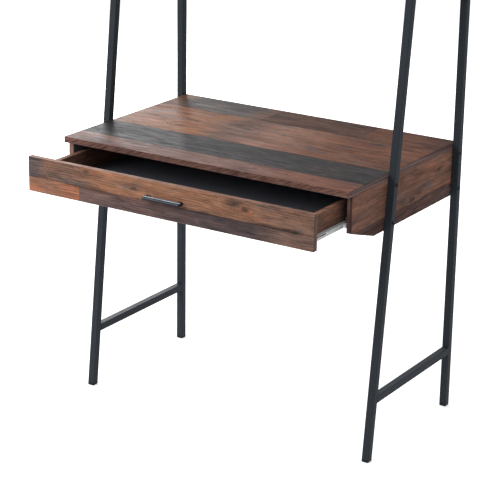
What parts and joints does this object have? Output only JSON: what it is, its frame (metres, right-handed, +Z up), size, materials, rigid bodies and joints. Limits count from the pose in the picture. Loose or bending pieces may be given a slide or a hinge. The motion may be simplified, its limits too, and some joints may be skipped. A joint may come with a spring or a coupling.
{
  "type": "ladder desk",
  "caption": "Free-standing ladder desk: black tube side frames with leaning front posts carry a wood-look desk box, a wide drawer on roller runners, and open shelves above.",
  "frame": {"origin": "on the floor, under the middle of the whole object's box with the drawer at rest (drawn out 155 mm)", "axes": "+Z up, +X to the right of a person sitting at the desk, +Y away from that person; the drawer opens along -Y"},
  "size_m": [0.906, 0.738, 1.76],
  "materials": {
    "plank_laminate": "rustic plank-print laminate, matt",
    "drawer_board": "brown laminate, matt",
    "hardboard": "dark coated hardboard",
    "beech": "raw beech",
    "powder_coat": "black powder coat, fine texture",
    "black_handle": "black satin lacquer",
    "black_bolt": "black zinc",
    "black_plastic": "moulded polypropylene",
    "runner_white": "white epoxy coat",
    "nylon": "white nylon",
    "zinc_steel": "bright zinc plate"
  },
  "bodies": {
    "desk": {"desk_top": "plank_laminate", "back_panel": "plank_laminate", "mid_shelf": "plank_laminate", "top_shelf": "plank_laminate", "frame_bolts": "black_bolt", "bolt_inserts": "zinc_steel", "shelf_screws": "black_bolt", "cabinet_roller_axles": "zinc_steel", "cabinet_runner_screws": "zinc_steel", "cam_bolts": "zinc_steel", "cam_locks": "zinc_steel", "dowels": "beech", "left_side_panel": "plank_laminate", "left_front_post": "powder_coat", "left_rear_post": "powder_coat", "left_foot_rail": "powder_coat", "left_mid_shelf_rail": "powder_coat", "left_top_shelf_rail": "powder_coat", "left_front_foot": "black_plastic", "left_rear_foot": "black_plastic", "left_front_cap": "black_plastic", "left_rear_cap": "black_plastic", "left_cabinet_runner": "runner_white", "right_side_panel": "plank_laminate", "right_front_post": "powder_coat", "right_rear_post": "powder_coat", "right_foot_rail": "powder_coat", "right_mid_shelf_rail": "powder_coat", "right_top_shelf_rail": "powder_coat", "right_front_foot": "black_plastic", "right_rear_foot": "black_plastic", "right_front_cap": "black_plastic", "right_rear_cap": "black_plastic", "right_cabinet_runner": "runner_white"},
    "drawer": {"drawer_front": "plank_laminate", "drawer_left_side": "drawer_board", "drawer_right_side": "drawer_board", "drawer_back": "drawer_board", "drawer_bottom": "hardboard", "drawer_handle": "black_handle", "handle_screws": "zinc_steel", "drawer_cam_bolts": "zinc_steel", "drawer_cam_locks": "zinc_steel", "drawer_dowels": "beech", "drawer_back_screws": "zinc_steel", "left_drawer_runner": "runner_white", "right_drawer_runner": "runner_white", "drawer_runner_screws": "zinc_steel", "drawer_roller_axles": "zinc_steel"},
    "left_front_roller": {"left_front_roller": "nylon"},
    "left_rear_roller": {"left_rear_roller": "nylon"},
    "right_front_roller": {"right_front_roller": "nylon"},
    "right_rear_roller": {"right_rear_roller": "nylon"}
  },
  "joints": [
    {"name": "drawer_slide", "type": "slide", "parent": "desk", "child": "drawer", "axis": [0, -1, 0], "range_m": [-0.155, 0.145]},
    {"name": "left_front_roller_spin", "type": "hinge", "parent": "desk", "child": "left_front_roller", "pos_m": [-0.406, -0.163, 0.654], "axis": [1, 0, 0], "range_deg": [-1190, 1113]},
    {"name": "left_rear_roller_spin", "type": "hinge", "parent": "drawer", "child": "left_rear_roller", "pos_m": [-0.406, 0.057, 0.654], "axis": [1, 0, 0], "range_deg": [-1190, 1113]},
    {"name": "right_front_roller_spin", "type": "hinge", "parent": "desk", "child": "right_front_roller", "pos_m": [0.406, -0.163, 0.654], "axis": [1, 0, 0], "range_deg": [-1190, 1113]},
    {"name": "right_rear_roller_spin", "type": "hinge", "parent": "drawer", "child": "right_rear_roller", "pos_m": [0.406, 0.057, 0.654], "axis": [1, 0, 0], "range_deg": [-1190, 1113]}
  ],
  "couplings": [
    {"joint": "left_front_roller_spin", "follows": "drawer_slide", "rad_per_m": 133.33},
    {"joint": "left_rear_roller_spin", "follows": "drawer_slide", "rad_per_m": 133.33},
    {"joint": "right_front_roller_spin", "follows": "drawer_slide", "rad_per_m": 133.33},
    {"joint": "right_rear_roller_spin", "follows": "drawer_slide", "rad_per_m": 133.33}
  ]
}
